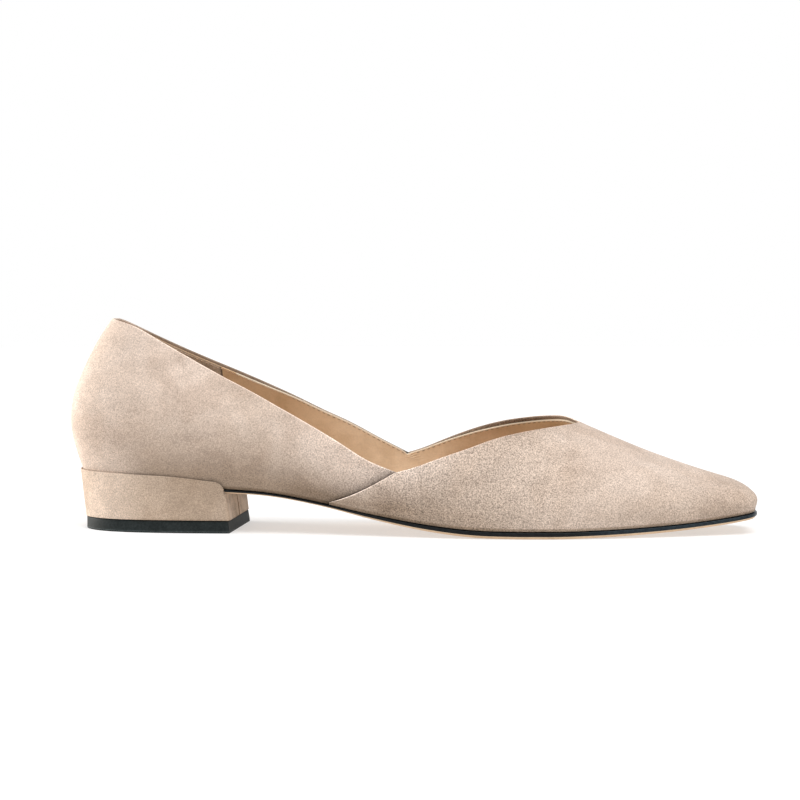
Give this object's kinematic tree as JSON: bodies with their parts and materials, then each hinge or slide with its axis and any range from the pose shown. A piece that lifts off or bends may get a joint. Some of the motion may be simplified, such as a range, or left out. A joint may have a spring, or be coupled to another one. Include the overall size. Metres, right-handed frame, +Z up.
{
  "type": "low heel court shoe",
  "caption": "Right suede court shoe with a squared toe, a V throat, sides that dip to a notch and a low covered block heel.",
  "frame": {"origin": "on the floor, under the middle of the shoe's length and width", "axes": "+X towards the toe, +Y towards the inner (medial) side of the foot, +Z up"},
  "size_m": [0.2626, 0.078, 0.0807],
  "materials": {
    "suede": "suede",
    "heel_suede": "suede",
    "insole_leather": "smooth",
    "sole_leather": "satin, with a black edge",
    "lift_rubber": "satin"
  },
  "bodies": {
    "root": {"upper": "suede", "insole": "insole_leather", "outsole": "sole_leather", "heel_block": "heel_suede", "top_lift": "lift_rubber"}
  },
  "joints": []
}
